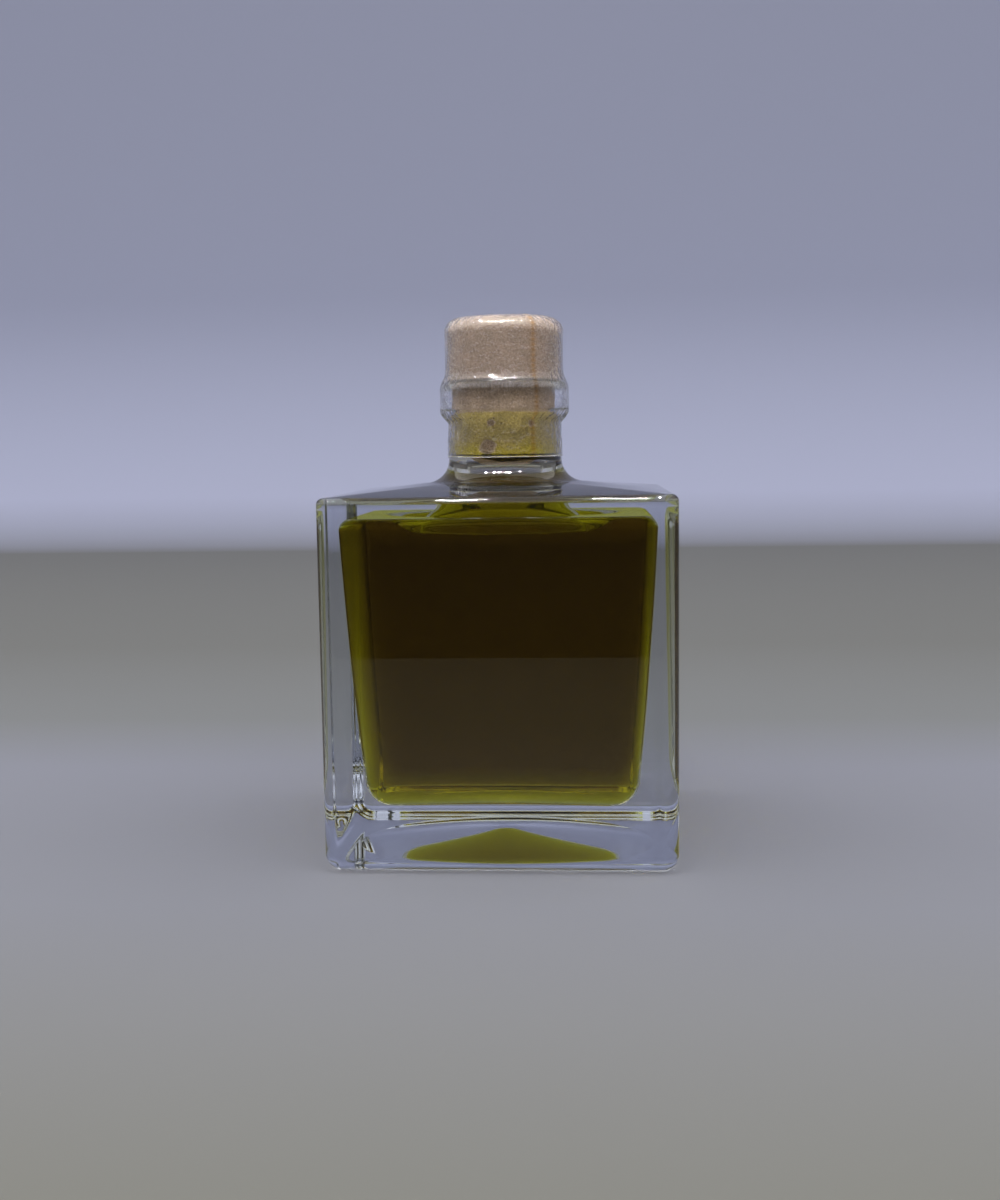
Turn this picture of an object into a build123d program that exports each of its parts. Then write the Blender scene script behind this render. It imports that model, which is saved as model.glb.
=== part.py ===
import os

from build123d import *

os.makedirs("parts", exist_ok=True)

# A square bottle of thick clear glass, full of olive oil, shut with a bar-top stopper
# and sealed with a clear shrink film. Sizes are in millimetres. The origin is the
# middle of the foot, on the surface that the bottle stands on, with +Z up the neck.

# Outside of the glass body
body_width = 76.0             # side to side, X
body_depth = 76.0             # front to back, Y
shoulder_height = 80.0        # at the shoulder's outer edge
shoulder_rise = 2.1           # from that edge in to the foot of the neck
side_edge_radius = 3.6
foot_edge_radius = 3.5
shoulder_edge_radius = 1.5
foot_rim_width = 0.9          # flat ground between the foot's edge and its hollow
foot_hollow_rise = 3.7        # where its sides would meet over the middle of the base
foot_hollow_top_radius = 24.0 # rounding of the hollow's middle

# Inside of the glass body
wall_at_shoulder = 4.1
wall_at_middle = 5.9
wall_at_base = 8.6
base_thickness = 12.3         # under the corners of the inside floor
floor_crown = 1.2             # rise of the inside floor at its middle
floor_crown_margin = 2.0      # that its curve runs on past the inside corners
shoulder_thickness = 4.6      # at the shoulder's outer edge
inner_corner_at_shoulder = 5.0
inner_corner_at_middle = 6.5
inner_corner_at_base = 8.0
floor_edge_radius = 5.0       # from the inside walls into the floor
ceiling_edge_radius = 2.6     # from the inside walls into the ceiling

# Thick collar of glass that hangs from the ceiling round the foot of the neck
collar_width = 8.5            # from its mouth to its outer edge
collar_drop = 4.0             # below the ceiling
collar_lip_radius = 2.0       # from its lowest ring up into the mouth
mouth_radius = 18.0           # where the oil passes through it
mouth_flare_height = 1.4      # top of the mouth's flare, above the shoulder's edge

# Neck and lip
neck_height = 18.4            # from the shoulder's edge to the lip's underside
neck_top_radius = 12.45
neck_foot_radius = 13.1
neck_flare_radius = 5.4       # from the neck out into the shoulder
bore_radius = 9.25
lip_radius = 14.7
lip_height = 6.4
lip_top_edge_radius = 1.8
lip_lower_edge_radius = 0.6

# Stopper
head_radius = 13.2
head_height = 14.6
head_top_edge_radius = 3.4
head_lower_edge_radius = 0.8
shank_length = 16.4           # straight stretch inside the neck
shank_tip_length = 3.2        # tapered end below that stretch
shank_tip_radius = 5.8

# Oil
oil_gap = 3.0                 # air between the shank's tip and the oil

# Shrink film
film_thickness = 0.12
film_stand_off = 0.28         # from the side of the head
film_fold_width = 5.0         # folded in over the top of the head
film_slope_height = 2.2       # on the head's side, where it starts out to the lip
film_tuck = 0.2               # below the lip's underside, before it turns in
film_bridge_height = 2.4      # from the lip's underside in to the neck
film_end_height = 0.3         # above the top of the neck's flare

# Slack in height when edges are picked by where they lie
near = 0.01

# Heights and radii that follow from the sizes above
ceiling_height = shoulder_height - shoulder_thickness
neck_base_height = shoulder_height + shoulder_rise
neck_flare_edge = neck_foot_radius + neck_flare_radius
neck_flare_top = neck_base_height + neck_flare_radius
bore_start = shoulder_height + mouth_flare_height
collar_low = ceiling_height - collar_drop
lip_underside = shoulder_height + neck_height
lip_top = lip_underside + lip_height
head_top = lip_top + head_height
shank_end = lip_top - shank_length
shank_tip = shank_end - shank_tip_length
oil_level = shank_tip - oil_gap


def plan_section(wall, corner_radius, height):
    """Rounded square at a height, a wall's thickness inside the body's outline."""
    outline = RectangleRounded(body_width - 2 * wall, body_depth - 2 * wall, corner_radius)
    return Pos(0, 0, height) * outline


def capping_ball(rim_radius, rise, rim_height):
    """Ball whose top stands a rise above the circle that it cuts at rim_height."""
    ball_radius = (rim_radius**2 + rise**2) / (2 * rise)
    return Pos(0, 0, rim_height + rise - ball_radius) * Sphere(ball_radius)


def edges_between(solid, low, high):
    """Edges that lie wholly between two heights."""
    return [
        edge
        for edge in solid.edges()
        if low <= edge.bounding_box().min.Z and edge.bounding_box().max.Z <= high
    ]


def at(radius, height):
    """Point of an outline that is turned about Z."""
    return Vector(radius, 0, height)


def arc_about(centre, start, end):
    """Shorter arc about a centre, from one point of a turned outline to another."""
    towards_middle = ((start + end) / 2 - centre).normalized()
    return ThreePointArc(start, centre + towards_middle * (start - centre).length, end)


def turned(*runs):
    """Solid of revolution about Z from the runs of a closed outline."""
    edges = [edge for run in runs for edge in run.edges()]
    return revolve(make_face(Wire(edges)), Axis.Z, 360)


def foot_hollow():
    """Shallow cone with a rounded top under the base, carried down past the foot."""
    rim_radius = min(body_width, body_depth) / 2 - foot_edge_radius - foot_rim_width
    slope = foot_hollow_rise / rim_radius
    slant = (1 + slope**2) ** 0.5
    touch_radius = foot_hollow_top_radius * slope / slant
    touch = at(touch_radius, foot_hollow_rise - slope * touch_radius)
    ball_centre = at(0, touch.Z - foot_hollow_top_radius / slant)
    peak = at(0, ball_centre.Z + foot_hollow_top_radius)
    low = -foot_edge_radius
    return turned(
        arc_about(ball_centre, peak, touch),
        Polyline(touch, at(rim_radius, 0), at(rim_radius, low), at(0, low), peak),
    )


def neck_radius_at(height):
    """Outer radius of the tapered neck between its flare and the lip."""
    share = (height - neck_flare_top) / (lip_underside - neck_flare_top)
    return neck_foot_radius + share * (neck_top_radius - neck_foot_radius)


def body_outside():
    """Square body with its gently domed shoulder and the hollow under its base."""
    walls = extrude(plan_section(0, side_edge_radius, 0), shoulder_height)
    shoulder_edge = plan_section(0, side_edge_radius, shoulder_height)
    neck_circle = Pos(0, 0, neck_base_height) * Circle(neck_flare_edge)
    body = walls + loft([shoulder_edge, neck_circle], ruled=True)
    body = fillet(edges_between(body, -near, near), foot_edge_radius)
    shoulder_edges = edges_between(body, shoulder_height - near, shoulder_height + near)
    body = fillet(shoulder_edges, shoulder_edge_radius)
    return body - foot_hollow()


def neck_outside():
    """Flared, tapered neck with the lip on its end, solid right through."""
    root_height = shoulder_height - shoulder_thickness / 2
    flare_foot = at(neck_flare_edge, neck_base_height)
    flare_head = at(neck_foot_radius, neck_flare_top)
    lip_edge = lip_radius - lip_lower_edge_radius
    lower_start = at(lip_edge, lip_underside)
    lower_end = at(lip_radius, lip_underside + lip_lower_edge_radius)
    upper_start = at(lip_radius, lip_top - lip_top_edge_radius)
    upper_end = at(lip_radius - lip_top_edge_radius, lip_top)
    return turned(
        Polyline(at(0, lip_top), at(0, root_height), at(neck_flare_edge, root_height), flare_foot),
        arc_about(at(neck_flare_edge, neck_flare_top), flare_foot, flare_head),
        Polyline(flare_head, at(neck_top_radius, lip_underside), lower_start),
        arc_about(at(lip_edge, lower_end.Z), lower_start, lower_end),
        Line(lower_end, upper_start),
        arc_about(at(upper_end.X, upper_start.Z), upper_start, upper_end),
        Line(upper_end, at(0, lip_top)),
    )


def collar():
    """Ring of glass that hangs into the body round the mouth of the neck."""
    outer_radius = mouth_radius + collar_width
    low_radius = mouth_radius + collar_lip_radius
    run = outer_radius - low_radius
    sweep_radius = (run**2 + collar_drop**2) / (2 * collar_drop)
    outer = at(outer_radius, ceiling_height)
    lowest = at(low_radius, collar_low)
    mouth = at(mouth_radius, collar_low + collar_lip_radius)
    bore_end = at(bore_radius, bore_start)
    return turned(
        arc_about(at(low_radius, collar_low + sweep_radius), outer, lowest),
        arc_about(at(low_radius, mouth.Z), lowest, mouth),
        Spline(mouth, bore_end, tangents=[(0, 0, 1), (0, 0, 1)]),
        Polyline(bore_end, at(outer_radius, bore_end.Z), outer),
    )


def inside():
    """Everything hollow in the glass: the tapered body, the mouth and the bore."""
    middle_height = (base_thickness + ceiling_height) / 2
    body = loft([
        plan_section(wall_at_base, inner_corner_at_base, base_thickness),
        plan_section(wall_at_middle, inner_corner_at_middle, middle_height),
        plan_section(wall_at_shoulder, inner_corner_at_shoulder, ceiling_height),
    ])
    half_width = body_width / 2 - wall_at_base - inner_corner_at_base
    half_depth = body_depth / 2 - wall_at_base - inner_corner_at_base
    corner_reach = Vector(half_width, half_depth).length + inner_corner_at_base
    body -= capping_ball(corner_reach + floor_crown_margin, floor_crown, base_thickness)
    floor_edges = edges_between(body, base_thickness, base_thickness + floor_crown)
    body = fillet(floor_edges, floor_edge_radius)
    ceiling_edges = edges_between(body, ceiling_height - near, ceiling_height + near)
    body = fillet(ceiling_edges, ceiling_edge_radius)
    plug_circle = Pos(0, 0, collar_low) * Circle(mouth_radius + collar_lip_radius)
    plug = extrude(plug_circle, bore_start - collar_low)
    bore = extrude(Pos(0, 0, bore_start) * Circle(bore_radius), lip_top - bore_start)
    return body + plug - collar() + bore


def glass_bottle():
    """The glass, with its hollow cut out of it."""
    return body_outside() + neck_outside() - inside()


def olive_oil():
    """Oil that fills the inside up to its level in the neck."""
    slab = extrude(Rectangle(body_width, body_depth), oil_level)
    return inside() & slab


def stopper_head():
    """Turned head of the stopper, which rests on the lip."""
    head = extrude(Pos(0, 0, lip_top) * Circle(head_radius), head_height)
    head = fillet(edges_between(head, head_top - near, head_top + near), head_top_edge_radius)
    return fillet(edges_between(head, lip_top - near, lip_top + near), head_lower_edge_radius)


def stopper_shank():
    """Shank that fills the bore, with a tapered tip."""
    tip = at(shank_tip_radius, shank_tip)
    shank_foot = at(bore_radius, shank_end)
    return turned(
        Polyline(at(0, shank_tip), tip, shank_foot, at(bore_radius, lip_top), at(0, lip_top)),
        Line(at(0, lip_top), at(0, shank_tip)),
    )


def film_surface(offset):
    """Run of the film from its fold down to its lower end, moved outwards by an offset."""
    side_radius = head_radius + film_stand_off
    arc_centre = at(side_radius - head_top_edge_radius, head_top - head_top_edge_radius)
    arc_radius = head_top_edge_radius + offset
    fold = at(side_radius - film_fold_width, head_top + offset)
    arc_start = at(arc_centre.X, arc_centre.Z + arc_radius)
    arc_end = at(arc_centre.X + arc_radius, arc_centre.Z)
    bridge_end = lip_underside - film_bridge_height
    lower_end = neck_flare_top + film_end_height
    side_run = [
        arc_end,
        at(side_radius + offset, lip_top + film_slope_height),
        at(lip_radius + offset, lip_top - lip_top_edge_radius / 2),
        at(lip_radius + offset, lip_underside - film_tuck),
        at(neck_radius_at(bridge_end) + offset, bridge_end),
        at(neck_radius_at(lower_end) + offset, lower_end),
    ]
    return [Line(fold, arc_start), arc_about(arc_centre, arc_start, arc_end), Polyline(*side_run)]


def shrink_film():
    """Clear film over the head, the lip and the neck, open in the middle of its top."""
    inner = film_surface(0)
    outer = film_surface(film_thickness)
    ends = [Line(inner[0] @ 0, outer[0] @ 0), Line(inner[-1] @ 1, outer[-1] @ 1)]
    return turned(*inner, *outer, *ends)


pieces = {
    "glass_bottle": glass_bottle(),
    "olive_oil": olive_oil(),
    "stopper_head": stopper_head(),
    "stopper_shank": stopper_shank(),
    "shrink_film": shrink_film(),
}
for name, piece in pieces.items():
    export_step(piece, f"parts/{name}.step")
    print(f"{name}: {piece.volume / 1000:.2f} cm3")
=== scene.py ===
# Square bottle of thick clear glass, full of olive oil, corked and sealed with a clear shrink film.
import math
import bpy
import bmesh
from mathutils import Matrix, Vector, noise


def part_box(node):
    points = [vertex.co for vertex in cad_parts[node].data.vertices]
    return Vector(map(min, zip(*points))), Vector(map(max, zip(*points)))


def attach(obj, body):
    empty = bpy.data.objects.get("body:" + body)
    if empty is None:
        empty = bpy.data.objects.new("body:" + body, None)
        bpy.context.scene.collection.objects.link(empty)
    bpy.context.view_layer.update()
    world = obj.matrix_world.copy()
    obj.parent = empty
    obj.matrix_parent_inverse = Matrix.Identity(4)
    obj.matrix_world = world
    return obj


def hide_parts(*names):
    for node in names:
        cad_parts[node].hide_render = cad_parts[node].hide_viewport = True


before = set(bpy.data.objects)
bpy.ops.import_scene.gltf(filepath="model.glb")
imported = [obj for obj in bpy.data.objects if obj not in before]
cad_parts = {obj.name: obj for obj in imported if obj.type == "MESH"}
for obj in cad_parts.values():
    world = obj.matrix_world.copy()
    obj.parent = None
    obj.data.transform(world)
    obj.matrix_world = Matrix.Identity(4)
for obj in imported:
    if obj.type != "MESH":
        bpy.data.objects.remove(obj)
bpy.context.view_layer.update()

mm = 0.001               # every size below is in millimetres until it becomes a mesh

# where things are, read from the frame
glassHigh = Vector(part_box("glass_bottle")[1]) / mm
oilHigh = Vector(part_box("olive_oil")[1]) / mm
shankLow, shankHigh = (Vector(corner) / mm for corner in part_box("stopper_shank"))
headLow, headHigh = (Vector(corner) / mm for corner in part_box("stopper_head"))
filmLow, filmHigh = (Vector(corner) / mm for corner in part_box("shrink_film"))
bodyHalf = glassHigh.x
lipTop = glassHigh.z
oilLevel = oilHigh.z
boreRadius = shankHigh.x
print("frame read")


# rings: every piece here is a stack of rings round the neck's axis
ringSetup = {
    "stepsToCorner": 32,    # from the middle of a side to a corner
    "cornerCrowding": 1.7,  # above 1, the steps gather at the corners
}


def ringAngles():
    steps, crowd = ringSetup["stepsToCorner"], ringSetup["cornerCrowding"]
    fromDiagonal = [-45 * ((steps - k) / steps) ** crowd for k in range(steps)]
    fromDiagonal += [45 * (k / steps) ** crowd for k in range(steps)]
    return [math.radians(45 + 90 * side + away) for side in range(4) for away in fromDiagonal]


angles = ringAngles()


def outlineRadius(angle, half, corner):
    # from the axis out to a rounded square; a circle is a square whose corner is its half width
    along, across = abs(math.cos(angle)), abs(math.sin(angle))
    if along < across:
        along, across = across, along
    inner = half - corner
    if across * half <= along * inner:
        return half / along
    reach = inner * (along + across)
    return reach + math.sqrt(max(reach * reach - 2 * inner * inner + corner * corner, 0))


def squareRing(half, corner, height):
    ring = []
    for angle in angles:
        radius = outlineRadius(angle, half, corner)
        ring.append(Vector((radius * math.cos(angle), radius * math.sin(angle), height)))
    return ring


def roundRing(radius, height):
    return [Vector((radius * math.cos(a), radius * math.sin(a), height)) for a in angles]


def mixRings(first, second, share):
    return [a.lerp(b, share) for a, b in zip(first, second)]


def spread(steps):
    # shares of a run, with one close to each end so that a rounded edge keeps its own shading
    return [0.012] + [k / steps for k in range(1, steps)] + [0.988]


def arcPoints(centre, radius, startDeg, endDeg, steps, skipFirst=False):
    # (r, z) points of an arc in the plane of the axis
    points = []
    for k in range(1 if skipFirst else 0, steps + 1):
        turn = math.radians(startDeg + (endDeg - startDeg) * k / steps)
        points.append((centre[0] + radius * math.cos(turn), centre[1] + radius * math.sin(turn)))
    return points


def makePiece(name, rings, startPole=None, endPole=None, closeUp=False):
    # skins the rings, closes the ends at the poles, and turns the faces outwards
    mesh = bmesh.new()
    loops = [[mesh.verts.new(p * mm) for p in ring] for ring in rings]
    count = len(loops[0])
    pairs = list(zip(loops, loops[1:])) + ([(loops[-1], loops[0])] if closeUp else [])
    for low, high in pairs:
        for k in range(count):
            n = (k + 1) % count
            mesh.faces.new((low[k], low[n], high[n], high[k]))
    for pole, loop in ((startPole, loops[0]), (endPole, loops[-1])):
        if pole is not None:
            tip = mesh.verts.new(pole * mm)
            for k in range(count):
                mesh.faces.new((loop[k], loop[(k + 1) % count], tip))
    bmesh.ops.recalc_face_normals(mesh, faces=mesh.faces)
    for face in mesh.faces:
        face.smooth = True
    data = bpy.data.meshes.new(name)
    mesh.to_mesh(data)
    mesh.free()
    piece = bpy.data.objects.new(name, data)
    bpy.context.scene.collection.objects.link(piece)
    return piece


def markPoints(piece, name, values):
    mark = piece.data.attributes.new(name, "FLOAT", "POINT")
    mark.data.foreach_set("value", values)


# materials: small helpers
def newMaterial(name):
    material = bpy.data.materials.new(name)
    material.use_nodes = True
    return material, material.node_tree, material.node_tree.nodes["Principled BSDF"]


def addNode(tree, kind, **settings):
    node = tree.nodes.new(kind)
    for key, value in settings.items():
        if key in node.inputs:
            node.inputs[key].default_value = value
        else:
            setattr(node, key, value)
    return node


def setStops(ramp, stops):
    # colour stops as (place, colour), from the first to the last
    elements = ramp.color_ramp.elements
    for k, (at, colour) in enumerate(stops):
        stop = elements[0] if k == 0 else elements.new(at) if k < len(stops) - 1 else elements[-1]
        stop.position = at
        stop.color = colour


# the glass
glass = {
    "sideCorner": 3.6, "footEdge": 3.5, "shoulderEdge": 1.5,
    "footGround": 0.9, "footHollow": 3.7, "footHollowTop": 24.0,
    "shoulderRise": 2.1,
    "neckFlare": 5.4, "neckFootRadius": 13.1, "neckTopRadius": 12.45,
    "lipRadius": 14.7, "lipHeight": 6.4, "lipTopEdge": 1.8, "lipLowerEdge": 0.6,
    "shoulderHeight": 80.0,
    "baseThickness": 12.3, "floorCrown": 1.2, "crownReach": 40.3, "floorEdge": 5.0,
    "wallAtBase": 8.6, "wallAtMiddle": 5.9, "wallAtShoulder": 4.1,
    "cornerAtBase": 8.0, "cornerAtShoulder": 5.0,
    "ceilingBelowShoulder": 4.6, "ceilingEdge": 2.6,
    "collarWidth": 8.5, "collarDrop": 4.0, "collarLip": 2.0,
    "mouthRadius": 18.0, "mouthFlareAbove": 1.4,
    "wave": 0.10,          # unevenness of the blown inside
    "waveLength": 17.0,
    "boreEdge": 0.4,
    "wetAboveOil": 0.45,   # how far the oil climbs the bore
    "bends": 1.52,         # how strongly it bends light against air
    "bendsInOil": 1.034,   # and against oil
    "tint": (0.36, 0.42, 0.54, 1), "tintDensity": 9.0,
}
# rings up the bore: far apart at first, then close together where its oil begins and ends
boreHeights = [101.5, 98.5, 95.5, 92.5, 90.0] + [89.0 - 0.15 * k for k in range(24)]
shoulder = glass["shoulderHeight"]
neckBase = shoulder + glass["shoulderRise"]
ceiling = shoulder - glass["ceilingBelowShoulder"]
boreStart = shoulder + glass["mouthFlareAbove"]
lipUnderside = lipTop - glass["lipHeight"]


def wallAt(height):
    # the blown wall thickens towards the base, along a curve through three thicknesses
    low, high = glass["baseThickness"], ceiling
    t = (height - low) / (high - low)
    atBase, atMiddle, atShoulder = glass["wallAtBase"], glass["wallAtMiddle"], glass["wallAtShoulder"]
    bend = 2 * atBase - 4 * atMiddle + 2 * atShoulder
    return atBase + (atShoulder - atBase - bend) * t + bend * t * t


def innerCorner(height):
    t = (height - glass["baseThickness"]) / (ceiling - glass["baseThickness"])
    return glass["cornerAtBase"] + (glass["cornerAtShoulder"] - glass["cornerAtBase"]) * t


def floorHeight(point):
    # the crowned floor of the inside
    away = math.hypot(point.x, point.y) / glass["crownReach"]
    return glass["baseThickness"] + glass["floorCrown"] * (1 - away * away)


def hollowHeight(radius, rim):
    # under the base: a shallow cone, rounded in its middle
    slope = glass["footHollow"] / rim
    slant = math.hypot(1, slope)
    ball, touch = glass["footHollowTop"], glass["footHollowTop"] * slope / slant
    if radius >= touch:
        return glass["footHollow"] - slope * radius
    return glass["footHollow"] - slope * touch - ball / slant + math.sqrt(ball * ball - radius * radius)


def outsideRings():
    rings = []
    foot = bodyHalf - glass["footEdge"]
    hollow = foot - glass["footGround"]
    for share in [0.015, 0.03, 0.05, 0.075] + [k / 20 for k in range(2, 20)] + [0.985, 1.0]:
        rings.append(roundRing(hollow * share, hollowHeight(hollow * share, hollow)))
    footSquare = squareRing(foot, glass["sideCorner"] - glass["footEdge"], 0)
    rings += [mixRings(rings[-1], footSquare, share) for share in (0.04, 0.3, 0.6, 0.9)]
    for half, height in arcPoints((foot, glass["footEdge"]), glass["footEdge"], 270, 360, 10):
        rings.append(squareRing(half, glass["sideCorner"] - (bodyHalf - half), height))
    edge = glass["shoulderEdge"]
    wallFoot, wallTop = glass["footEdge"], shoulder - edge
    for share in spread(20):
        rings.append(squareRing(bodyHalf, glass["sideCorner"], wallFoot + (wallTop - wallFoot) * share))
    for half, height in arcPoints((bodyHalf - edge, wallTop), edge, 0, 87, 8):
        rings.append(squareRing(half, glass["sideCorner"] - (bodyHalf - half), height))
    domeEdge = rings[-1]
    neckFoot, flare = glass["neckFootRadius"], glass["neckFlare"]
    flareTop = neckBase + flare
    domeTop = roundRing(neckFoot + flare, neckBase)
    rings += [mixRings(domeEdge, domeTop, share) for share in spread(14)]
    for radius, height in arcPoints((neckFoot + flare, flareTop), flare, 270, 180, 12):
        rings.append(roundRing(radius, height))
    neckTop = lipUnderside - glass["lipLowerEdge"]
    narrowing = glass["neckTopRadius"] - neckFoot
    for share in (k / 8 for k in range(1, 9)):
        rings.append(roundRing(neckFoot + narrowing * share, flareTop + (neckTop - flareTop) * share))
    # small hollow under the lip, then the lip itself
    under = glass["lipLowerEdge"]
    for radius, height in arcPoints((glass["neckTopRadius"] + under, neckTop), under, 180, 90, 4, True):
        rings.append(roundRing(radius, height))
    lipEdge = glass["lipRadius"] - under
    for radius, height in arcPoints((lipEdge, lipUnderside + under), under, 270, 360, 5):
        rings.append(roundRing(radius, height))
    topEdge = glass["lipTopEdge"]
    for radius, height in arcPoints((glass["lipRadius"] - topEdge, lipTop - topEdge), topEdge, 0, 90, 8):
        rings.append(roundRing(radius, height))
    return rings


def mouthRings():
    # from the lip down the bore, out round the collar and on to the ceiling's edge
    edge = glass["boreEdge"]
    rings = [roundRing(boreRadius + edge, lipTop)]
    for radius, height in arcPoints((boreRadius + edge, lipTop - edge), edge, 90, 180, 3, True):
        rings.append(roundRing(radius, height))
    rings += [roundRing(boreRadius, height) for height in boreHeights]
    for lift in (0.9, 0.5, 0.3, 0.1, 0.0):
        rings.append(roundRing(boreRadius, oilLevel + lift))
    rings.append(roundRing(boreRadius, boreStart))
    collarLow = ceiling - glass["collarDrop"]
    mouthHeight = collarLow + glass["collarLip"]
    for k in range(1, 13):
        share = k / 12
        ease = share * share * (3 - 2 * share)
        rings.append(roundRing(
            boreRadius + (glass["mouthRadius"] - boreRadius) * ease,
            boreStart + (mouthHeight - boreStart) * share))
    lowRadius = glass["mouthRadius"] + glass["collarLip"]
    for radius, height in arcPoints((lowRadius, mouthHeight), glass["collarLip"], 180, 270, 8, True):
        rings.append(roundRing(radius, height))
    run = glass["collarWidth"] - glass["collarLip"]
    for k in range(1, 13):
        share = k / 12
        rings.append(roundRing(lowRadius + run * share, collarLow + glass["collarDrop"] * (
            0.5 - 0.5 * math.cos(math.pi * share))))
    return rings


def hollowRings():
    # the inside walls, from the collar out over the ceiling, down and in over the floor
    edge = glass["ceilingEdge"]
    wallTop = ceiling - edge
    halfTop, cornerTop = bodyHalf - wallAt(wallTop), innerCorner(wallTop)
    collarEdge = roundRing(glass["mouthRadius"] + glass["collarWidth"], ceiling)
    ceilingEdge = squareRing(halfTop - edge, cornerTop - edge, ceiling)
    rings = [mixRings(collarEdge, ceilingEdge, share) for share in (0.3, 0.6, 0.85, 0.96)]
    for half, height in arcPoints((halfTop - edge, wallTop), edge, 90, 0, 9):
        rings.append(squareRing(half, cornerTop - (halfTop - half), height))
    floorEdge = glass["floorEdge"]
    wallFoot = glass["baseThickness"] + floorEdge + 1.6
    for share in spread(36):
        height = wallTop + (wallFoot - wallTop) * share
        rings.append(squareRing(bodyHalf - wallAt(height), innerCorner(height), height))
    halfFoot, cornerFoot = bodyHalf - wallAt(wallFoot), innerCorner(wallFoot)
    steps = 11
    for k in range(steps + 1):
        turn = math.radians(90 * k / steps)
        inward = floorEdge * (1 - math.cos(turn))
        ring = squareRing(halfFoot - inward, cornerFoot - inward, 0)
        drop = math.sin(turn)
        rings.append([Vector((p.x, p.y, wallFoot + (floorHeight(p) - wallFoot) * drop)) for p in ring])
    rim = rings[-1]
    for share in (0.02,) + tuple(k / 16 for k in range(1, 16)):
        ring = mixRings(rim, roundRing(1.0, 0), share)
        rings.append([Vector((p.x, p.y, floorHeight(p))) for p in ring])
    return rings


def waved(rings):
    # the blown inside is a little uneven: a slow, fixed noise moves it in and out
    moved = []
    for ring in rings:
        new = []
        for p in ring:
            away = math.hypot(p.x, p.y)
            share = min(max((away - glass["mouthRadius"]) / glass["collarWidth"], 0), 1)
            push = glass["wave"] * share * noise.noise(p / glass["waveLength"])
            new.append(p + Vector((p.x, p.y, 0)) * (push / away))
        moved.append(new)
    return moved


# the oil that hangs between the bore and the stopper's tip
bead = {
    "low": 87.35,          # its lower edge, which wanders by the next two
    "wander": 1.1, "ripple": 0.35,
    "hold": 0.05,          # how far it reaches into the stopper
    "climb": 0.25,         # how much higher it ends on the stopper than on the bore
    "sag": 0.35,
    "overEnd": 0.15,       # how far it reaches up past the end of the straight shank
    "glassWetTo": 90.0,
}


def beadLow(angle):
    around = Vector((math.cos(angle), math.sin(angle), 0.3)) * 1.3
    return bead["low"] + bead["wander"] * noise.noise(around) + bead["ripple"] * noise.noise(around * 2.6)


def glassMaterial():
    material, tree, shader = newMaterial("clearGlass")
    shader.inputs["Base Color"].default_value = (1, 1, 1, 1)
    shader.inputs["Roughness"].default_value = 0.0
    shader.inputs["IOR"].default_value = glass["bends"]
    shader.inputs["Transmission Weight"].default_value = 1.0
    # against the oil the glass bends light far less than against the air
    wet = addNode(tree, "ShaderNodeAttribute", attribute_name="wetted")
    bend = addNode(tree, "ShaderNodeMapRange")
    bend.inputs["To Min"].default_value = glass["bends"]
    bend.inputs["To Max"].default_value = glass["bendsInOil"]
    tree.links.new(wet.outputs["Fac"], bend.inputs["Value"])
    tree.links.new(bend.outputs["Result"], shader.inputs["IOR"])
    tint = addNode(tree, "ShaderNodeVolumeAbsorption", Color=glass["tint"], Density=glass["tintDensity"])
    tree.links.new(tint.outputs["Volume"], tree.nodes["Material Output"].inputs["Volume"])
    return material


def buildGlass():
    outer = outsideRings()
    mouth = mouthRings()
    hollow = hollowRings()
    inner = waved(mouth + hollow)
    under = Vector((0, 0, hollowHeight(0, bodyHalf - glass["footEdge"] - glass["footGround"])))
    floor = Vector((0, 0, floorHeight(Vector((0, 0, 0)))))
    piece = makePiece("glassBody", outer + inner, under, floor)
    count = len(angles)
    firstInner = len(outer)
    wetness = []
    for index, vertex in enumerate(piece.data.vertices):
        inside = index >= firstInner * count and index != (len(outer) + len(inner)) * count
        height = vertex.co.z / mm
        low = beadLow(math.atan2(vertex.co.y, vertex.co.x))
        wet = height < oilLevel + glass["wetAboveOil"] or low < height < bead["glassWetTo"]
        wetness.append(1.0 if inside and wet else 0.0)
    markPoints(piece, "wetted", wetness)
    piece.data.materials.append(glassMaterial())
    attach(piece, "root")
    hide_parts("glass_bottle")


buildGlass()
print("glass made")


# the oil
oil = {
    "intoWall": 0.06,      # how far it reaches into the glass, so that no air shows between
    "meniscus": glass["wetAboveOil"],
    "meniscusWidth": 1.4, "meniscusBend": 2.5,
    "bends": 1.47,         # how strongly its free surface bends light
    "colour": (0.935, 0.919, 0.20, 1),
    "density": 600.0,
}


def oilSurface():
    # the free surface in the bore, from the middle out to where it meets the glass
    steps = 8
    inner = boreRadius + oil["intoWall"] - oil["meniscusWidth"]
    rings = [roundRing(inner * (k + 1) / (steps + 1), oilLevel) for k in range(steps)]
    for share in (k / steps for k in range(steps + 1)):
        climb = oil["meniscus"] * share ** oil["meniscusBend"]
        rings.append(roundRing(inner + oil["meniscusWidth"] * share, oilLevel + climb))
    return rings


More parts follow.
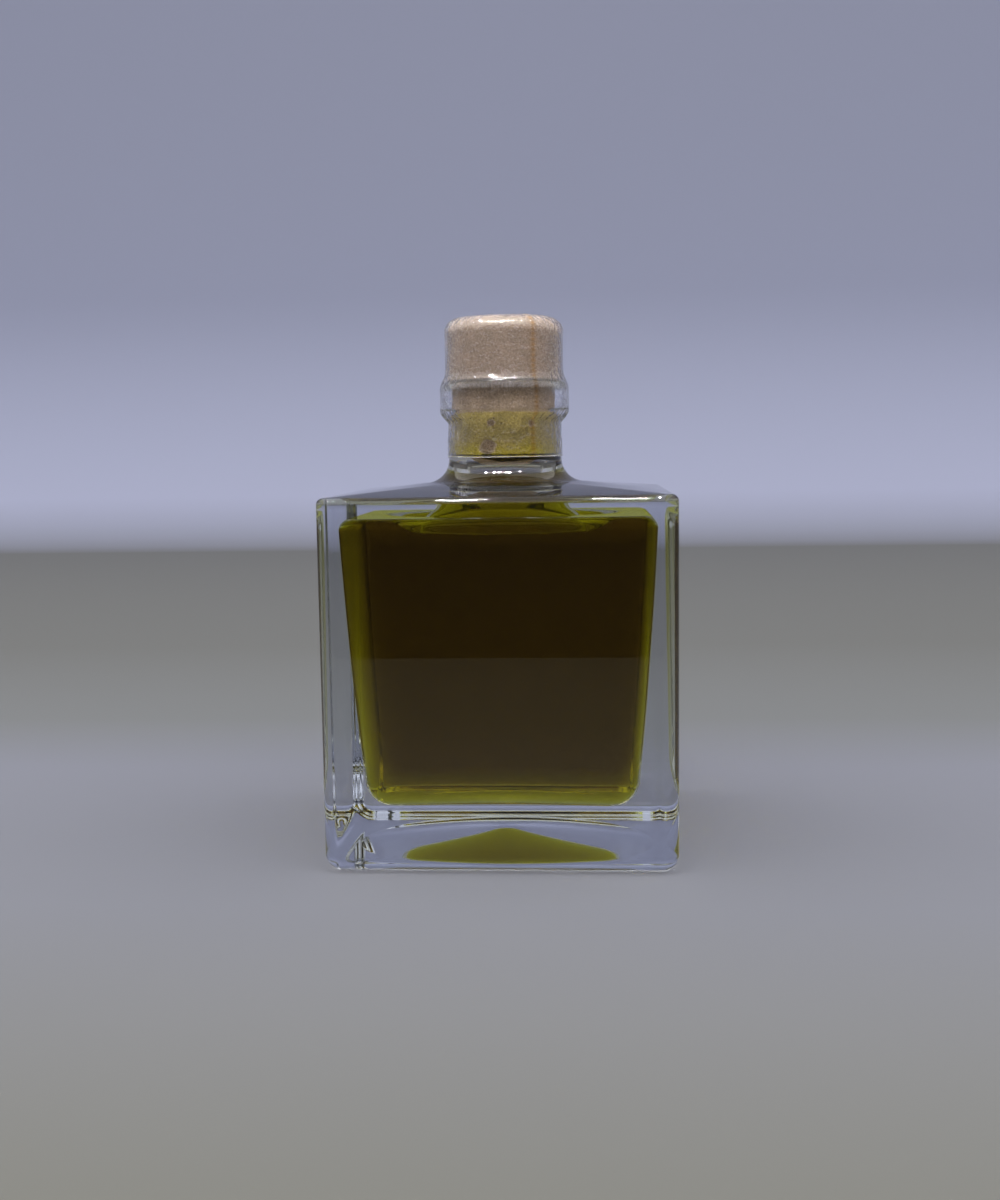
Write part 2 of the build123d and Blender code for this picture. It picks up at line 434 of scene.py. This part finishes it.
def oilMaterial():
    material, tree, shader = newMaterial("oliveOil")
    shader.inputs["Base Color"].default_value = (1, 1, 1, 1)
    shader.inputs["Roughness"].default_value = 0.0
    shader.inputs["IOR"].default_value = oil["bends"]
    shader.inputs["Transmission Weight"].default_value = 1.0
    # its side in the wall bends nothing, its free surface bends as oil does
    free = addNode(tree, "ShaderNodeAttribute", attribute_name="freeSurface")
    bend = addNode(tree, "ShaderNodeMapRange")
    bend.inputs["To Min"].default_value = 1.0
    bend.inputs["To Max"].default_value = oil["bends"]
    tree.links.new(free.outputs["Fac"], bend.inputs["Value"])
    tree.links.new(bend.outputs["Result"], shader.inputs["IOR"])
    body = addNode(tree, "ShaderNodeVolumeAbsorption", Color=oil["colour"], Density=oil["density"])
    tree.links.new(body.outputs["Volume"], tree.nodes["Material Output"].inputs["Volume"])
    return material


def buildOil():
    surface = oilSurface()
    wall = [ring for ring in mouthRings() if ring[0].z < oilLevel + oil["meniscus"] - 0.1]
    sides = waved(wall + hollowRings())
    floor = Vector((0, 0, floorHeight(Vector((0, 0, 0)))))
    piece = makePiece("oliveOil", surface + sides, Vector((0, 0, oilLevel)), floor)
    count = len(angles)
    firstSide = len(surface) * count
    startPole = (len(surface) + len(sides)) * count
    onSurface = [index < firstSide or index == startPole for index in range(len(piece.data.vertices))]
    facing = [normal.vector.copy() for normal in piece.data.vertex_normals]
    for index, vertex in enumerate(piece.data.vertices):
        if not onSurface[index]:
            vertex.co += facing[index] * (oil["intoWall"] * mm)
    markPoints(piece, "freeSurface", [1.0 if on else 0.0 for on in onSurface])
    piece.data.materials.append(oilMaterial())
    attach(piece, "root")
    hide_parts("olive_oil")
    return piece


def buildBead():
    # it clings in the wedge: down the bore, across its free surface and back up the stopper
    end, tip = stopper["shankEnd"], shankLow.z
    taper = (boreRadius - stopper["tipRadius"]) / (end - tip)
    coneAt = lambda height: boreRadius - taper * (end - height) - bead["hold"]
    wall, top = boreRadius + stopper["intoBore"] - 0.01, end + bead["overEnd"]
    around = evenAngles(180)
    columns = []
    for angle in around:
        low = beadLow(angle)
        hold = low + bead["climb"]
        inner = coneAt(hold)
        column = [(wall, top + (low - top) * k / 6) for k in range(7)]
        for share in (k / 6 for k in range(1, 6)):
            sag = bead["sag"] * math.sin(math.pi * share)
            column.append((wall + (inner - wall) * share, low + (hold - low) * share + sag))
        column += [(coneAt(hold + (end - hold) * k / 4), hold + (end - hold) * k / 4) for k in range(5)]
        column.append((wall - 0.1, top))
        columns.append(column)
    rings = [[Vector((column[k][0] * math.cos(a), column[k][0] * math.sin(a), column[k][1]))
              for a, column in zip(around, columns)] for k in range(len(columns[0]))]
    piece = makePiece("oilBead", rings, closeUp=True)
    isFree = [1.0 if 7 <= k <= 11 else 0.0 for k in range(len(rings))]
    markPoints(piece, "freeSurface", [value for value in isFree for a in around])
    piece.data.materials.append(oilPiece.data.materials[0])
    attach(piece, "root")
    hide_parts("olive_oil")


oilPiece = buildOil()
print("oil made")


# the stopper: a turned head over a shank that wets itself on the bore
stopper = {
    "headTopEdge": 3.4, "headLowerEdge": 0.8,
    "clearOfLip": 0.04,
    "intoBore": 0.03,      # where it is wet it touches the glass
    "dryBack": 0.10,       # where it is dry it stands back from it
    "shankEnd": 88.4, "tipRadius": 5.8, "tipEdge": 0.3, "endRadius": 2.5,
    "lipWetReach": 76,     # degrees each side of the front
    "dryAbove": 97.9,      # the oil has crept up to here, and above it the cork only looks dull
    # the grain runs through these, from its dark flecks to its pale ones
    "grain": ((0.30, (0.143, 0.099, 0.071, 1)), (0.5, (0.255, 0.187, 0.136, 1)),
              (0.72, (0.328, 0.248, 0.186, 1))),
    "clouds": ((0.3, (0.72, 0.70, 0.68, 1)), (0.7, (1.12, 1.10, 1.06, 1))),
    # what oil and painted light do to them: the yellow and olive are the oil's stain, and every factor
    # above 1 is painted light that brightens the shank inside the glass; at the tip there is only that
    # painted light, a little stain in a dry place or a dull one, then more and more
    "soakAndPaintedLight": ((0.0, (2.25, 2.25, 2.15, 1)), (0.06, (1.35, 1.3, 1.0, 1)), (0.12, (2.0, 2.0, 1.85, 1)),
                (0.35, (2.15, 2.25, 0.72, 1)), (1.0, (2.1, 2.25, 0.04, 1))),
    "soakedBare": 0.06, "soakedDull": 0.12, "soakedLeast": 0.32,
    "soakedRise": 3.2,     # how far up from its end the shank is at its yellowest
}
# dry places on the shank: angle, height, half width and half height
dryPlaces = [(-110, 89.9, 1.95, 1.7), (-104, 95.6, 0.85, 0.8), (-52, 95.2, 0.5, 0.9), (35, 93, 2.2, 2.6),
             (120, 91, 1.8, 1.5)]


def evenAngles(count):
    return [2 * math.pi * k / count for k in range(count)]


def turnedRing(radius, height, around):
    return [Vector((radius * math.cos(a), radius * math.sin(a), height)) for a in around]


def dryness(angle, height):
    most = 0.0
    for degrees, middle, halfWide, halfHigh in dryPlaces:
        away = (angle - math.radians(degrees) + math.pi) % (2 * math.pi) - math.pi
        wobble = 0.25 * noise.noise(Vector((math.cos(angle) * 3, math.sin(angle) * 3, height * 0.9)))
        far = math.hypot(away * boreRadius / halfWide, (height - middle) / halfHigh) + wobble
        most = max(most, min(max((1.12 - far) / 0.24, 0), 1))
    # in the lip it touches the glass only round the front
    turned = (angle + math.pi / 2 + math.pi) % (2 * math.pi) - math.pi
    aside = min(max((abs(turned) - math.radians(stopper["lipWetReach"])) / 0.05, 0), 1)
    return max(most, aside * min(max((height - lipUnderside + 0.3) / 0.4, 0), 1))


def dullness(angle, height):
    sway = 0.9 * noise.noise(Vector((math.cos(angle) * 1.6, math.sin(angle) * 1.6, 5)))
    return min(max((height - stopper["dryAbove"] - sway) / 1.2, 0), 1)


def corkMaterial(name, wet):
    material, tree, shader = newMaterial(name)
    place = addNode(tree, "ShaderNodeTexCoord")
    broad = addNode(tree, "ShaderNodeTexNoise", Scale=260.0, Detail=3.0, Roughness=0.6)
    fine = addNode(tree, "ShaderNodeTexNoise", Scale=2600.0, Detail=3.0, Roughness=0.6)
    fleck = addNode(tree, "ShaderNodeTexVoronoi", Scale=900.0)
    for texture in (broad, fine, fleck):
        tree.links.new(place.outputs["Object"], texture.inputs["Vector"])
    grain = addNode(tree, "ShaderNodeValToRGB")
    setStops(grain, stopper["grain"])
    tree.links.new(fine.outputs["Fac"], grain.inputs["Fac"])
    shade = addNode(tree, "ShaderNodeValToRGB")
    setStops(shade, stopper["clouds"])
    tree.links.new(broad.outputs["Fac"], shade.inputs["Fac"])
    cloud = addNode(tree, "ShaderNodeMix", data_type="RGBA", blend_type="MULTIPLY")
    cloud.inputs["Factor"].default_value = 0.5
    tree.links.new(grain.outputs["Color"], cloud.inputs["A"])
    tree.links.new(shade.outputs["Color"], cloud.inputs["B"])
    colour = cloud.outputs["Result"]
    if wet:
        # oil has soaked the shank: olive all over, yellow towards the tip, bare where it is dry; the same
        # tints also brighten it, a painted light standing in for the light that the glass and film keep
        # from it
        soak = addNode(tree, "ShaderNodeAttribute", attribute_name="soaked")
        tint = addNode(tree, "ShaderNodeValToRGB")
        setStops(tint, stopper["soakAndPaintedLight"])
        tree.links.new(soak.outputs["Fac"], tint.inputs["Fac"])
        stainAndPaintedLight = addNode(tree, "ShaderNodeMix", data_type="RGBA", blend_type="MULTIPLY")
        stainAndPaintedLight.inputs["Factor"].default_value = 1.0
        tree.links.new(colour, stainAndPaintedLight.inputs["A"])
        tree.links.new(tint.outputs["Color"], stainAndPaintedLight.inputs["B"])
        colour = stainAndPaintedLight.outputs["Result"]
    tree.links.new(colour, shader.inputs["Base Color"])
    rough = addNode(tree, "ShaderNodeMapRange")
    rough.inputs["To Min"].default_value = 0.62
    rough.inputs["To Max"].default_value = 0.85
    tree.links.new(broad.outputs["Fac"], rough.inputs["Value"])
    tree.links.new(rough.outputs["Result"], shader.inputs["Roughness"])
    relief = addNode(tree, "ShaderNodeBump", Strength=0.35, Distance=0.00012)
    tree.links.new(fleck.outputs["Distance"], relief.inputs["Height"])
    tree.links.new(relief.outputs["Normal"], shader.inputs["Normal"])
    return material


def buildShank():
    around = evenAngles(160)
    rings, soaked = [], []
    wetRadius, dryRadius = boreRadius + stopper["intoBore"], boreRadius - stopper["dryBack"]
    start, end, tip = headLow.z - 0.02, stopper["shankEnd"], shankLow.z
    least = stopper["soakedLeast"]
    steps = 70
    for k in range(steps + 1):
        height = start + (end - start) * k / steps
        ring = []
        for a in around:
            dry = dryness(a, height)
            radius = wetRadius + (dryRadius - wetRadius) * dry
            ring.append(Vector((radius * math.cos(a), radius * math.sin(a), height)))
            sway = 1.6 * noise.noise(Vector((math.cos(a) * 1.7, math.sin(a) * 1.7, height * 0.25)))
            rise = (height + sway - end) / stopper["soakedRise"]
            wet = least + (1 - least) * max(0.0, 1 - rise)
            dull = max(dry, dullness(a, height))
            isBare = dry > 0.5 and height < lipUnderside - 0.5
            left = stopper["soakedBare"] if isBare else stopper["soakedDull"]
            soaked.append(wet * (1 - dull) + left * dull)
        rings.append(ring)
    # the cone under it, its rounded tip and its flat end
    coneTop, edge = boreRadius - 0.05, stopper["tipEdge"]
    line = [(coneTop + (stopper["tipRadius"] - coneTop) * k / 10, end + (tip + edge - end) * k / 10)
            for k in range(1, 10)]
    line += arcPoints((stopper["tipRadius"] - edge, tip + edge), edge, 0, -90, 4)
    line.append((stopper["endRadius"], tip))
    for radius, height in line:
        rings.append(turnedRing(radius, height, around))
        soaked += [0.0] * len(around)
    piece = makePiece("stopperShank", rings, Vector((0, 0, start)), Vector((0, 0, tip)))
    markPoints(piece, "soaked", soaked + [0.1, 0.0])
    piece.data.materials.append(corkMaterial("soakedCorkWithPaintedLight", True))
    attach(piece, "root")
    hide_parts("stopper_shank")


def buildHead():
    around = evenAngles(240)
    radius, low, high = headHigh.x, headLow.z + stopper["clearOfLip"], headHigh.z
    lowEdge, topEdge = stopper["headLowerEdge"], stopper["headTopEdge"]
    profile = [(k * (radius - lowEdge) / 8, low) for k in range(1, 8)]
    profile += arcPoints((radius - lowEdge, low + lowEdge), lowEdge, 270, 360, 6)
    wallLow, wallHigh = low + lowEdge, high - topEdge
    profile += [(radius, wallLow + (wallHigh - wallLow) * share) for share in spread(24)]
    profile += arcPoints((radius - topEdge, wallHigh), topEdge, 0, 90, 14)
    profile += [((radius - topEdge) * (1 - k / 12), high) for k in range(1, 12)]
    rings = []
    for away, height in profile:
        ring = []
        for a in around:
            p = Vector((away * math.cos(a), away * math.sin(a), height))
            inward = 0.05 * (0.5 + 0.5 * noise.noise(p * 0.55)) + 0.02 * abs(noise.noise(p * 2.3))
            keep = 1 - inward / max(away, 4)
            ring.append(Vector((p.x * keep, p.y * keep, height)))
        rings.append(ring)
    piece = makePiece("stopperHead", rings, Vector((0, 0, low)), Vector((0, 0, high)))
    piece.data.materials.append(corkMaterial("pressedCork", False))
    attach(piece, "root")
    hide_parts("stopper_head")


buildShank()
buildHead()
buildBead()
print("stopper made")


# the shrink film: clear, thin, drawn over head, lip and neck, with a perforated seam
film = {
    "standOff": 0.28, "thickness": 0.10,
    "foldWidth": 5.0, "slopeHeight": 1.3, "bridgeHeight": 2.4,
    "around": 300, "step": 0.42,
    "seamAngle": -58.0, "seamWidth": 1.1, "seamRise": 0.10, "perforationPitch": 1.15,
    "loose": 0.05,         # slow unevenness all over
    "creases": 0.26,       # the puckers where it turns over an edge
    "offGlass": 0.05,
    "roughness": 0.05, "bends": 1.4,
    "clear": (0.97, 0.97, 0.99, 1), "seamGold": (0.92, 0.70, 0.42, 1),
}
# where it puckers: how strongly, the middle height, and how far up and down
puckerBands = [(0.9, lipUnderside - 1.4, 1.5), (0.75, lipTop + 0.9, 1.5), (0.85, filmHigh.z - 1.8, 2.0),
               (0.75, 93.0, 5.0)]


def filmProfile():
    # inner face of the film from its low edge up to the fold on top: (r, z)
    stand = film["standOff"]
    headRadius, headEdge = headHigh.x + stand, stopper["headTopEdge"]
    top = filmHigh.z - film["thickness"] - 0.02
    corner = lipTop - glass["lipTopEdge"] / 2
    flareTop = neckBase + glass["neckFlare"]
    narrowing = (glass["neckTopRadius"] - glass["neckFootRadius"]) / (lipUnderside - flareTop)
    neckAt = lambda z: glass["neckFootRadius"] + narrowing * (z - flareTop) + 0.06
    low = filmLow.z + 0.02
    tuck = lipUnderside - film["bridgeHeight"]
    onLip = glass["lipRadius"] + film["offGlass"]
    wallTop = top - headEdge
    points = [(neckAt(low), low), (neckAt(tuck), tuck), (onLip, lipUnderside - 0.2), (onLip, corner),
              (headRadius, lipTop + film["slopeHeight"]), (headRadius, wallTop)]
    points += arcPoints((headRadius - headEdge, wallTop), headEdge, 8, 90, 10)
    points += [(headRadius - film["foldWidth"], top)]
    # walk along it in even steps, with its corners eased
    fine = [points[0]]
    for (r0, z0), (r1, z1) in zip(points, points[1:]):
        steps = max(int(math.hypot(r1 - r0, z1 - z0) / film["step"]), 1)
        fine += [(r0 + (r1 - r0) * k / steps, z0 + (z1 - z0) * k / steps) for k in range(1, steps + 1)]
    for turn in range(2):
        fine = [fine[0]] + [((a[0] + 2 * b[0] + c[0]) / 4, (a[1] + 2 * b[1] + c[1]) / 4)
                            for a, b, c in zip(fine, fine[1:], fine[2:])] + [fine[-1]]
    return fine


def bump(value, middle, width):
    return math.exp(-((value - middle) / width) ** 2)


def filmPush(angle, height, away):
    # how far the film lifts off, in millimetres; it never sinks
    around = Vector((math.cos(angle), math.sin(angle), 0))
    slow = noise.noise(around * 2.2 + Vector((0, 0, height * 0.16)))
    lift = film["loose"] * (1 + slow)
    puckers = sum(strength * bump(height, middle, reach) for strength, middle, reach in puckerBands)
    ridge = 1 - abs(noise.noise(around * 11.0 + Vector((0, 0, height * 0.35)))) * 2.6
    small = 1 - abs(noise.noise(around * 21.0 + Vector((3, 7, height * 0.9)))) * 2.4
    lift += film["creases"] * puckers * (max(ridge, 0) * 0.8 + max(small, 0) * 0.5)
    seam = (angle - math.radians(film["seamAngle"]) + math.pi) % (2 * math.pi) - math.pi
    onSeam = bump(seam * away, 0, film["seamWidth"] / 2)
    holes = 0.5 + 0.5 * math.cos(2 * math.pi * height / film["perforationPitch"])
    lift += film["seamRise"] * onSeam * (0.4 + 0.6 * holes)
    return lift, onSeam * (0.3 + 0.7 * holes)


def filmMaterial():
    material, tree, shader = newMaterial("clearFilm")
    shader.inputs["Roughness"].default_value = film["roughness"]
    shader.inputs["IOR"].default_value = film["bends"]
    shader.inputs["Transmission Weight"].default_value = 1.0
    # crinkles too fine for the mesh, which break the glints up
    place = addNode(tree, "ShaderNodeTexCoord")
    crinkle = addNode(tree, "ShaderNodeTexNoise", Scale=700.0, Detail=2.0)
    tree.links.new(place.outputs["Object"], crinkle.inputs["Vector"])
    relief = addNode(tree, "ShaderNodeBump", Strength=0.9, Distance=0.0004)
    tree.links.new(crinkle.outputs["Fac"], relief.inputs["Height"])
    tree.links.new(relief.outputs["Normal"], shader.inputs["Normal"])
    seam = addNode(tree, "ShaderNodeAttribute", attribute_name="seam")
    gold = addNode(tree, "ShaderNodeValToRGB")
    setStops(gold, ((0.0, film["clear"]), (1.0, film["seamGold"])))
    tree.links.new(seam.outputs["Fac"], gold.inputs["Fac"])
    tree.links.new(gold.outputs["Color"], shader.inputs["Base Color"])
    return material


def buildFilm():
    # even steps all round, and finer ones along the seam
    around = evenAngles(film["around"])
    around += [math.radians(film["seamAngle"]) + 0.011 * (k + 0.5) for k in range(-9, 9)]
    around = sorted(a % (2 * math.pi) for a in around)
    line = filmProfile()
    inner, outer, seam = [], [], []
    for k, (away, height) in enumerate(line):
        before, after = line[max(k - 1, 0)], line[min(k + 1, len(line) - 1)]
        run = Vector((after[0] - before[0], after[1] - before[1])).normalized()
        outR, outZ = run.y, -run.x
        innerRing, outerRing = [], []
        for a in around:
            lift, onSeam = filmPush(a, height, away)
            for ring, off in ((innerRing, lift), (outerRing, lift + film["thickness"])):
                radius = away + outR * off
                ring.append(Vector((radius * math.cos(a), radius * math.sin(a), height + outZ * off)))
            seam.append(onSeam)
        inner.append(innerRing)
        outer.append(outerRing)
    count = len(around)
    backwards = [value for k in range(len(line) - 1, -1, -1) for value in seam[k * count:(k + 1) * count]]
    piece = makePiece("shrinkFilm", inner + outer[::-1], closeUp=True)
    markPoints(piece, "seam", seam + backwards)
    piece.data.materials.append(filmMaterial())
    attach(piece, "root")
    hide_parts("shrink_film")


buildFilm()
print("film made")


# the table, the light and the camera
stage = {
    "front": -338.0, "back": 900.0, "side": 1500.0, "wall": 1300.0, "bend": 250.0,
    "below": 0.04,         # hair of air under the foot, so that the glass shows its own underside
    # how the table's colour runs from its front edge back to the wall: place along it, colour; the
    # darker, yellower front is painted shade, and behind the bottle it is darker out to the wall
    "colours": ((-338, (0.155, 0.15, 0.11, 1)), (-190, (0.22, 0.215, 0.17, 1)),
                (-60, (0.28, 0.285, 0.315, 1)), (60, (0.28, 0.285, 0.325, 1)),
                (130, (0.23, 0.235, 0.23, 1)), (300, (0.195, 0.195, 0.18, 1)),
                (885, (0.19, 0.19, 0.18, 1)), (1040, (0.48, 0.50, 0.64, 1)),
                (1150, (0.48, 0.505, 0.66, 1))),
    # how the room glows, from straight down at 0 to straight up at 1
    "sky": ((0.46, (0.31, 0.32, 0.37, 1)), (0.54, (0.31, 0.32, 0.37, 1)), (0.66, (1.35, 1.35, 1.40, 1)),
            (0.80, (1.45, 1.45, 1.50, 1)), (0.92, (1.05, 1.05, 1.10, 1))),
    # the dim part low in front: its colour, and how it fades in forwards and downwards
    "dim": (0.045, 0.045, 0.05, 1), "dimForwards": (0.10, -0.45), "dimDownwards": (0.42, 0.18),
    # a row of small lamps overhead, whose glints run along every edge of the film:
    # how far each is turned from straight in front, and how high it stands, in degrees
    "row": ((-56, 60), (-30, 63), (-13, 64), (6, 64), (17, 66), (44, 60)),
    "rowAway": 1.2, "rowSize": 0.06, "rowPower": 12.0,
}


def stageMaterial():
    material, tree, shader = newMaterial("paleTable")
    place = addNode(tree, "ShaderNodeTexCoord")
    split = addNode(tree, "ShaderNodeSeparateXYZ")
    along = addNode(tree, "ShaderNodeMapRange")
    first, last = stage["colours"][0][0], stage["colours"][-1][0]
    along.inputs["From Min"].default_value = first * mm
    along.inputs["From Max"].default_value = last * mm
    ramp = addNode(tree, "ShaderNodeValToRGB")
    setStops(ramp, [((at - first) / (last - first), colour) for at, colour in stage["colours"]])
    tree.links.new(place.outputs["Object"], split.inputs["Vector"])
    tree.links.new(split.outputs["Y"], along.inputs["Value"])
    tree.links.new(along.outputs["Result"], ramp.inputs["Fac"])
    tree.links.new(ramp.outputs["Color"], shader.inputs["Base Color"])
    shader.inputs["Roughness"].default_value = 0.85
    shader.inputs["Specular IOR Level"].default_value = 0.15
    return material


def buildStage():
    # one sweep: a table top that bends up into a plain backdrop
    profile = [(stage["front"], -14.0), (stage["front"], -1.0), (stage["front"] + 1.0, 0.0)]
    profile += [(stage["front"] + (stage["back"] - stage["front"]) * k / 12, 0.0) for k in range(1, 13)]
    bend = stage["bend"]
    for k in range(1, 13):
        turn = math.radians(90 * k / 12)
        profile.append((stage["back"] + bend * math.sin(turn), bend * (1 - math.cos(turn))))
    profile.append((stage["back"] + bend, stage["wall"]))
    mesh = bmesh.new()
    sides, below = (-stage["side"], stage["side"]), stage["below"]
    rows = [[mesh.verts.new(Vector((x, y, z - below)) * mm) for x in sides] for y, z in profile]
    for low, high in zip(rows, rows[1:]):
        mesh.faces.new((low[0], low[1], high[1], high[0]))
    for face in mesh.faces:
        face.smooth = True
    data = bpy.data.meshes.new("tableSweep")
    mesh.to_mesh(data)
    mesh.free()
    sweep = bpy.data.objects.new("tableSweep", data)
    bpy.context.scene.collection.objects.link(sweep)
    data.materials.append(stageMaterial())


def addLamp(name, place, target):
    lamp = bpy.data.lights.new(name, "AREA")
    lamp.shape = "RECTANGLE"
    lamp.size = lamp.size_y = stage["rowSize"]
    lamp.energy = stage["rowPower"]
    holder = bpy.data.objects.new(name, lamp)
    bpy.context.scene.collection.objects.link(holder)
    holder.location = place
    holder.rotation_euler = (target - place).to_track_quat("-Z", "Y").to_euler()
    # it only glints; the room does the lighting
    holder.visible_diffuse = False
    holder.visible_transmission = False


def buildWorld():
    # pale all round, dim low down in front, where the flat glass would only mirror it
    world = bpy.data.worlds.new("room")
    bpy.context.scene.world = world
    world.use_nodes = True
    tree = world.node_tree
    glow = tree.nodes["Background"]
    way = addNode(tree, "ShaderNodeTexCoord")
    split = addNode(tree, "ShaderNodeSeparateXYZ")
    tree.links.new(way.outputs["Generated"], split.inputs["Vector"])
    both = addNode(tree, "ShaderNodeMath", operation="MULTIPLY")
    for k, (axis, fade) in enumerate((("Y", "dimForwards"), ("Z", "dimDownwards"))):
        part = addNode(tree, "ShaderNodeMapRange", interpolation_type="SMOOTHSTEP")
        part.inputs["From Min"].default_value, part.inputs["From Max"].default_value = stage[fade]
        tree.links.new(split.outputs[axis], part.inputs["Value"])
        tree.links.new(part.outputs["Result"], both.inputs[k])
    mix = addNode(tree, "ShaderNodeMix", data_type="RGBA")
    height = addNode(tree, "ShaderNodeMapRange")
    height.inputs["From Min"].default_value = -1.0
    sky = addNode(tree, "ShaderNodeValToRGB")
    setStops(sky, stage["sky"])
    tree.links.new(split.outputs["Z"], height.inputs["Value"])
    tree.links.new(height.outputs["Result"], sky.inputs["Fac"])
    tree.links.new(sky.outputs["Color"], mix.inputs["A"])
    mix.inputs["B"].default_value = stage["dim"]
    tree.links.new(both.outputs["Value"], mix.inputs["Factor"])
    tree.links.new(mix.outputs["Result"], glow.inputs["Color"])
    glow.inputs["Strength"].default_value = 1.0


def buildLamps():
    target = Vector((0, 0, 0.09))
    for k, (turned, height) in enumerate(stage["row"]):
        turn, up = math.radians(turned), math.radians(height)
        way = Vector((math.cos(up) * math.sin(turn), -math.cos(up) * math.cos(turn), math.sin(up)))
        addLamp("row%d" % k, target + way * stage["rowAway"], target)


view = {
    "place": (19.33, -322.26, 90.43),
    "yaw": 3.735, "pitch": -6.384, "roll": -0.826,
    "lens": 41.387,
}


def buildCamera():
    yaw, pitch, roll = (math.radians(view[turn]) for turn in ("yaw", "pitch", "roll"))
    ahead = Vector((-math.sin(yaw) * math.cos(pitch), math.cos(yaw) * math.cos(pitch), math.sin(pitch)))
    level = Vector((math.cos(yaw), math.sin(yaw), 0))
    upright = level.cross(ahead)
    right = level * math.cos(roll) + upright * math.sin(roll)
    up = right.cross(ahead)
    data = bpy.data.cameras.new("camera")
    data.sensor_width = 36
    data.sensor_fit = "AUTO"
    data.lens = view["lens"]
    data.clip_start = 0.01
    camera = bpy.data.objects.new("camera", data)
    bpy.context.scene.collection.objects.link(camera)
    pose = Matrix((right, up, -ahead)).transposed().to_4x4()
    pose.translation = Vector(view["place"]) * mm
    camera.matrix_world = pose
    bpy.context.scene.camera = camera


buildStage()
buildWorld()
buildLamps()
buildCamera()
scene = bpy.context.scene
scene.view_settings.view_transform = "Standard"
scene.cycles.max_bounces = 40          # light crosses many faces in nested glass, oil and film
scene.cycles.transmission_bounces = 32
scene.cycles.glossy_bounces = 24
scene.cycles.transparent_max_bounces = 16
print("table, light and camera set")
